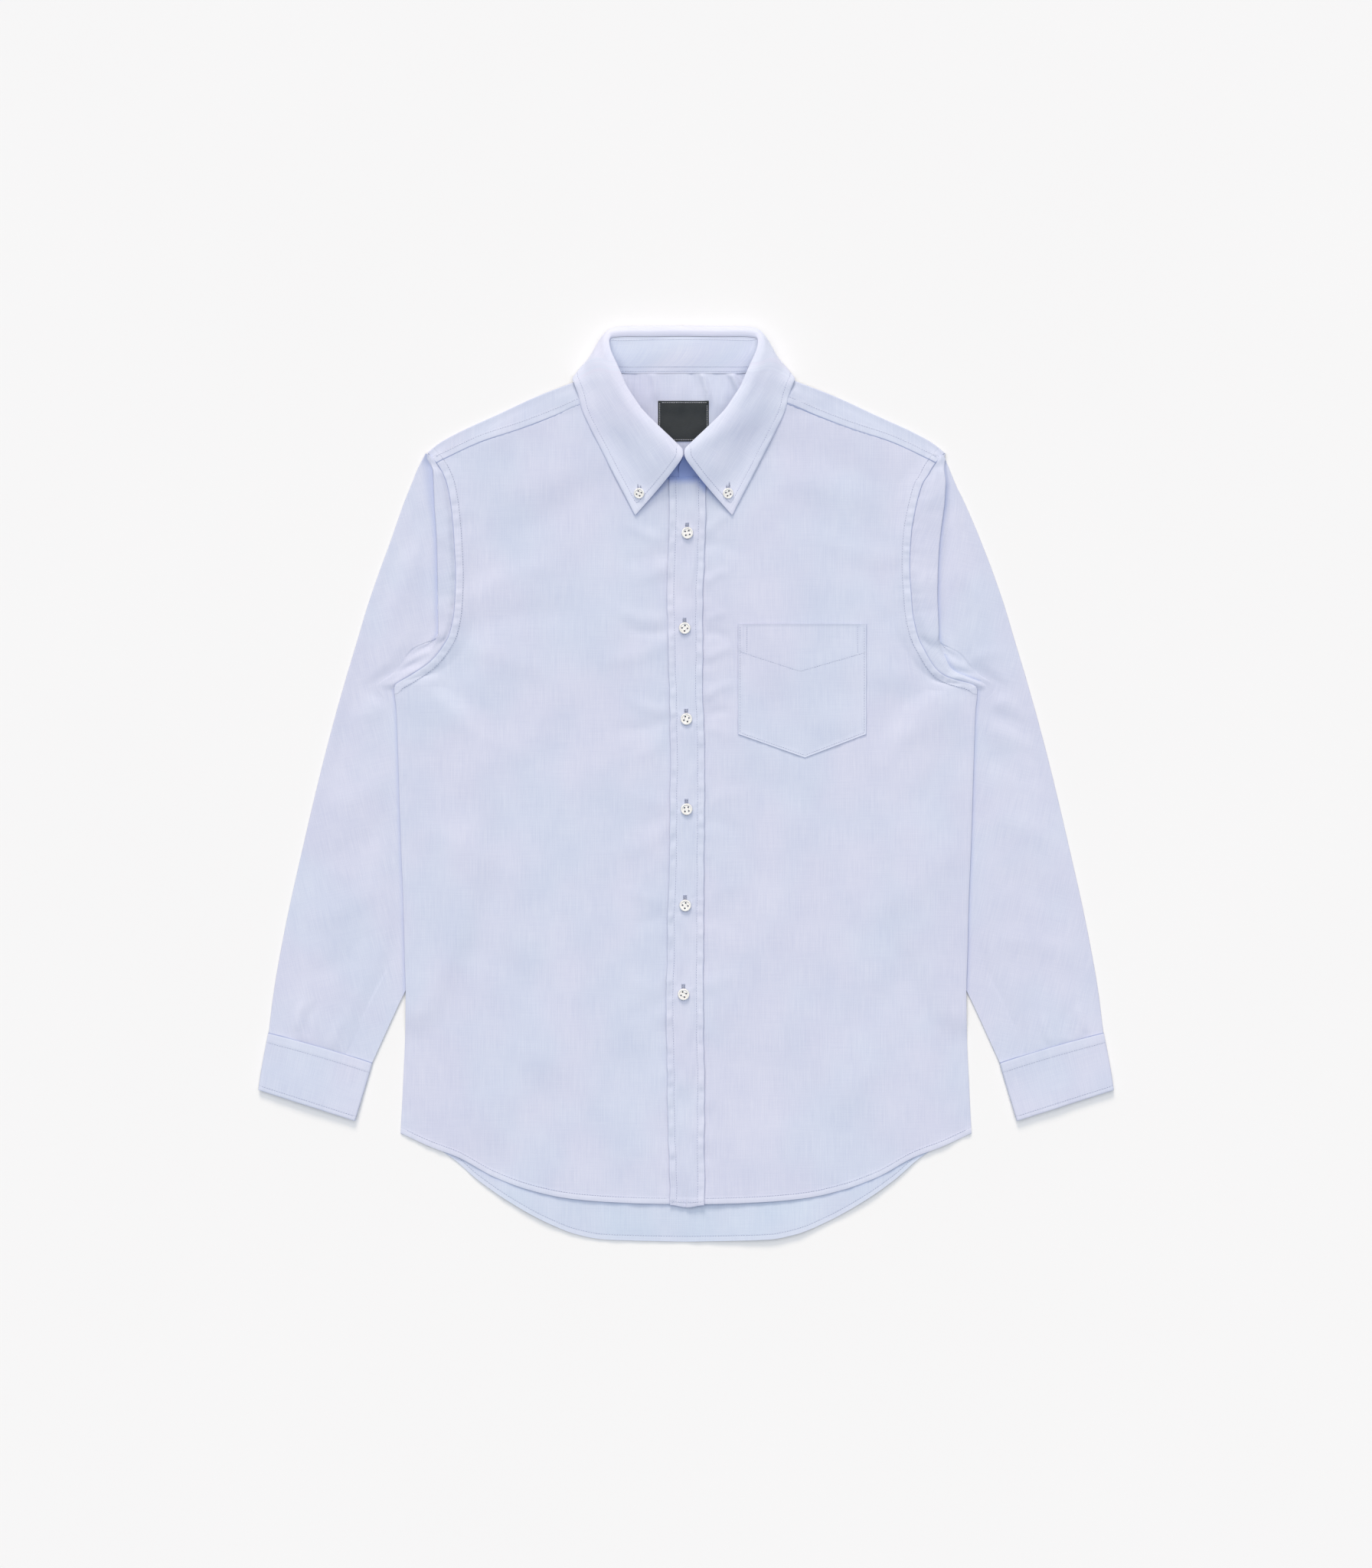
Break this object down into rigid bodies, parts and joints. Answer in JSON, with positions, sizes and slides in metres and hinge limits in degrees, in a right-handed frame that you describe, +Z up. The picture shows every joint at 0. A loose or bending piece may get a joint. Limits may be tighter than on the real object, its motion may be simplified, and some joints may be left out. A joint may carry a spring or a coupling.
{
  "type": "long sleeve dress shirt",
  "caption": "Long sleeve cotton dress shirt with a button-down collar, front placket and pointed chest pocket, laid flat on its back.",
  "frame": {"origin": "on the surface it lies on, under the middle of the shirt's outline", "axes": "+Z up from the surface, the way the front faces; +Y from the hem towards the collar; +X towards the wearer's left"},
  "size_m": [0.8266, 0.8845, 0.0285],
  "materials": {
    "shirting": "light blue end-on-end cotton poplin, smooth and matt",
    "label_weave": "dark charcoal woven satin, blank",
    "button_resin": "ivory four-hole shirt buttons, satin gloss"
  },
  "bodies": {
    "root": {"back": "shirting", "yoke": "shirting", "front_right": "shirting", "front_left": "shirting", "placket": "shirting", "collar_stand": "shirting", "collar_leaf": "shirting", "sleeve_right": "shirting", "sleeve_left": "shirting", "cuff_right": "shirting", "cuff_left": "shirting", "pocket": "shirting", "neck_label": "label_weave", "button_1": "button_resin", "button_2": "button_resin", "button_3": "button_resin", "button_4": "button_resin", "button_5": "button_resin", "button_6": "button_resin", "collar_button_right": "button_resin", "collar_button_left": "button_resin"}
  },
  "joints": []
}
